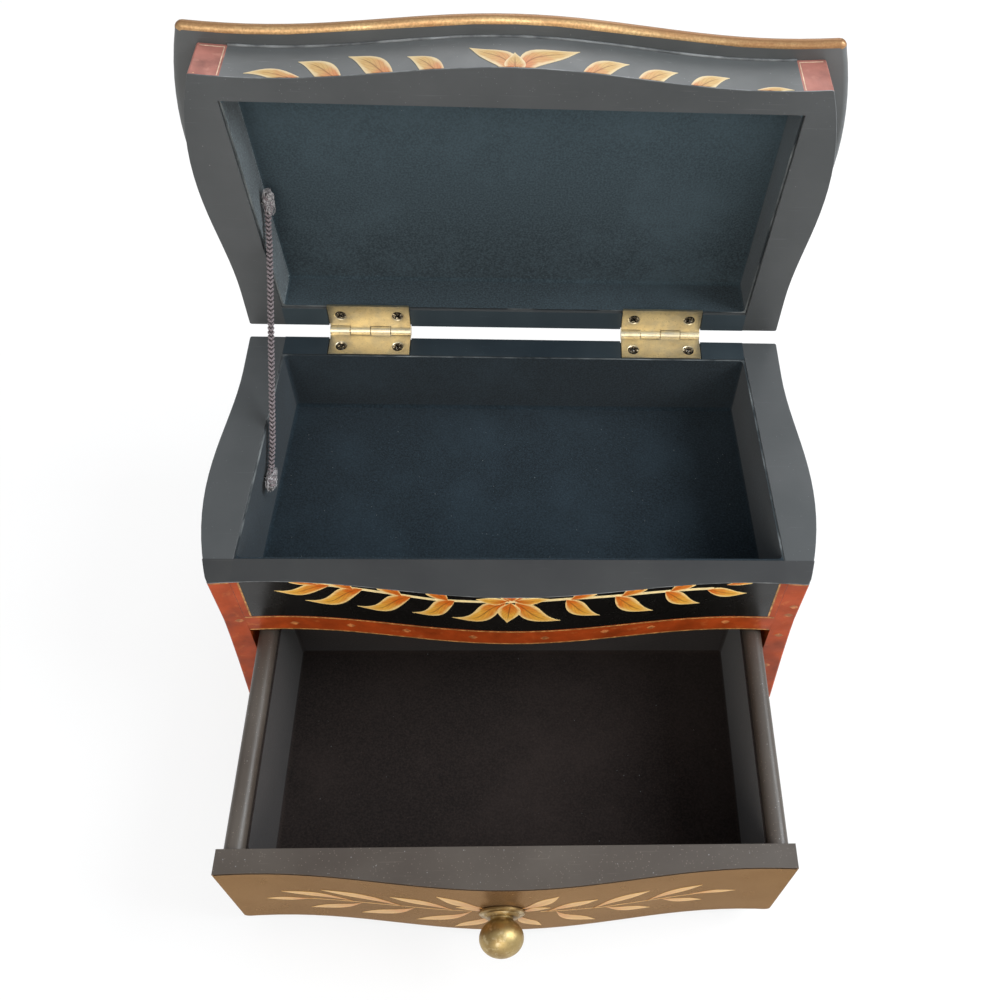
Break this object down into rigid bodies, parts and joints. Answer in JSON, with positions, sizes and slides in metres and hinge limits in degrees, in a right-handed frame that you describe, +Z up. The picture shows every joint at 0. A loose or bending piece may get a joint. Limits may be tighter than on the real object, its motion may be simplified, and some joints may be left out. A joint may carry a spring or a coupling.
{
  "type": "jewelry chest",
  "caption": "Serpentine lacquered jewelry chest with a hinged lid held open by a cord stay, a lined tray, and a lined drawer with a ball knob below.",
  "frame": {"origin": "middle of the resting face under the case, half way between the back and the front corners", "axes": "+Z up, the front of the chest faces -Y, +X to the right of someone who looks at the front"},
  "size_m": [0.2196, 0.2328, 0.2119],
  "materials": {
    "black_lacquer": "gloss lacquer",
    "red_lacquer": "gloss lacquer",
    "gilt_edge": "gilt lacquer",
    "raw_board": "plain board",
    "flock": "flocked lining",
    "felt": "felt",
    "cord": "braided cord",
    "brass": "aged brass",
    "bronze": "dark bronze"
  },
  "bodies": {
    "case": {"base_felt": "felt", "base_board": "gilt_edge", "side_left": "black_lacquer", "side_right": "black_lacquer", "post_left": "red_lacquer", "post_right": "red_lacquer", "front_frieze": "black_lacquer", "drawer_rail": "red_lacquer", "back_rail": "black_lacquer", "back_panel": "black_lacquer", "tray_floor": "raw_board", "tray_lining": "flock", "drawer_guide_left": "raw_board", "drawer_guide_right": "raw_board", "hinge_case_leaf_left": "brass", "hinge_case_leaf_right": "brass", "hinge_pin_left": "brass", "hinge_pin_right": "brass", "hinge_case_screws": "bronze", "stay_cord": "cord", "stay_screw_case": "bronze"},
    "lid": {"lid_top": "gilt_edge", "lid_front": "black_lacquer", "lid_side_left": "black_lacquer", "lid_side_right": "black_lacquer", "lid_back": "black_lacquer", "lid_block_left": "red_lacquer", "lid_block_right": "red_lacquer", "lid_lining": "flock", "hinge_lid_leaf_left": "brass", "hinge_lid_leaf_right": "brass", "hinge_lid_screws": "bronze", "stay_screw_lid": "bronze"},
    "drawer": {"drawer_front": "black_lacquer", "drawer_side_left": "black_lacquer", "drawer_side_right": "black_lacquer", "drawer_back": "black_lacquer", "drawer_bottom": "raw_board", "drawer_lining": "flock", "knob": "brass", "knob_collar": "brass", "knob_screw": "bronze"}
  },
  "joints": [
    {"name": "lid_hinge", "type": "hinge", "parent": "case", "child": "lid", "pos_m": [0, 0.0562, 0.0922], "axis": [1, 0, 0], "range_deg": [0, 90.5], "deforming": ["stay_cord"]},
    {"name": "drawer_slide", "type": "slide", "parent": "case", "child": "drawer", "axis": [0, 1, 0], "range_m": [0, 0.0811]}
  ]
}
